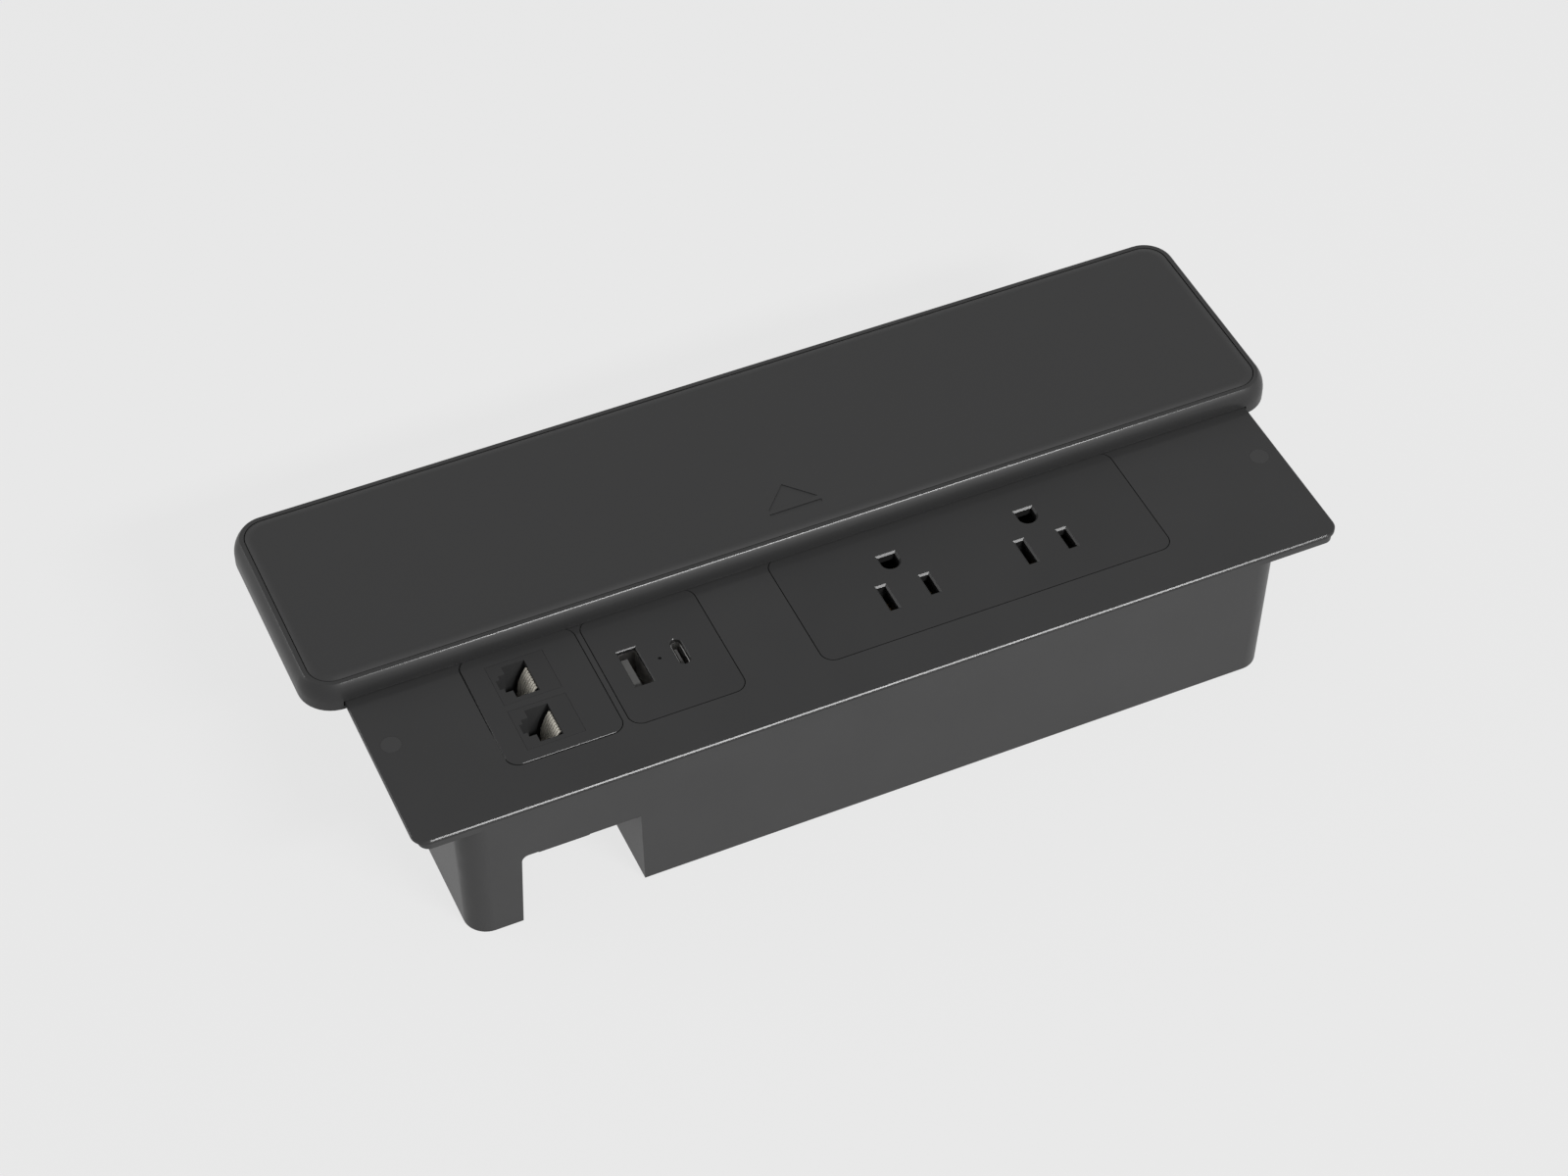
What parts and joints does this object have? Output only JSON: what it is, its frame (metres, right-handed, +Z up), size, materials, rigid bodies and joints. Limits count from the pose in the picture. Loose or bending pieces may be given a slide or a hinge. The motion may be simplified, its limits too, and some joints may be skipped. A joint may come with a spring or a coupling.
{
  "type": "in-desk power module with a sliding lid",
  "caption": "Dark in-desk module: a long flush deck with power outlets, charging ports and network jacks over a moulded housing, under a lid that slides open.",
  "frame": {"origin": "middle of the deck, on the plane of the desk surface (underside of the flange)", "axes": "+X along the deck, +Y towards the side where the lid opens, +Z up out of the desk"},
  "size_m": [0.2924, 0.1248, 0.0526],
  "materials": {
    "deck_plastic": "fine satin, very dark grey",
    "housing_plastic": "satin moulded, dark grey",
    "face_plastic": "fine satin, very dark grey",
    "cap_plastic": "satin, very dark grey",
    "lid_plastic": "satin, very dark grey",
    "panel_plastic": "fine satin, very dark grey",
    "inner_plastic": "black moulding",
    "jack_plastic": "satin, very dark grey",
    "tongue_plastic": "grey moulding",
    "runner_nylon": "smooth black nylon",
    "soft_black": "matt black",
    "clear_plastic": "clear, frosted end",
    "board_laminate": "green laminate",
    "winding_tape": "yellow tape over a dark core",
    "can_aluminium": "sleeved can",
    "screw_steel": "zinc plated",
    "port_steel": "nickel plated",
    "strap_brass": "bright brass",
    "contact_gold": "gold plated"
  },
  "bodies": {
    "base": {"deck_plate": "deck_plastic", "housing": "housing_plastic", "housing_screws": "screw_steel", "cord_bushing": "soft_black", "screw_cap_left": "cap_plastic", "screw_cap_right": "cap_plastic", "duplex_plate": "face_plastic", "duplex_body": "inner_plastic", "neutral_strap": "strap_brass", "hot_strap": "strap_brass", "ground_strap": "strap_brass", "duplex_screws": "screw_steel", "usb_plate": "face_plastic", "usb_cover": "inner_plastic", "usb_board": "board_laminate", "usb_screws": "screw_steel", "usb_a_shell": "port_steel", "usb_a_tongue": "tongue_plastic", "usb_a_contacts": "contact_gold", "usb_c_shell": "port_steel", "usb_c_tongue": "tongue_plastic", "light_pipe": "clear_plastic", "usb_transformer": "winding_tape", "usb_capacitors": "can_aluminium", "data_plate": "face_plastic", "jack_body_front": "jack_plastic", "jack_body_back": "jack_plastic", "jack_contacts_front": "contact_gold", "jack_contacts_back": "contact_gold", "jack_cap_front": "jack_plastic", "jack_cap_back": "jack_plastic"},
    "lid": {"lid_frame": "lid_plastic", "lid_panel": "panel_plastic", "lid_runner_left": "runner_nylon", "lid_runner_right": "runner_nylon", "runner_screws": "screw_steel"}
  },
  "joints": [
    {"name": "lid_slide", "type": "slide", "parent": "base", "child": "lid", "axis": [0, -1, 0], "range_m": [0, 0.0535]}
  ]
}
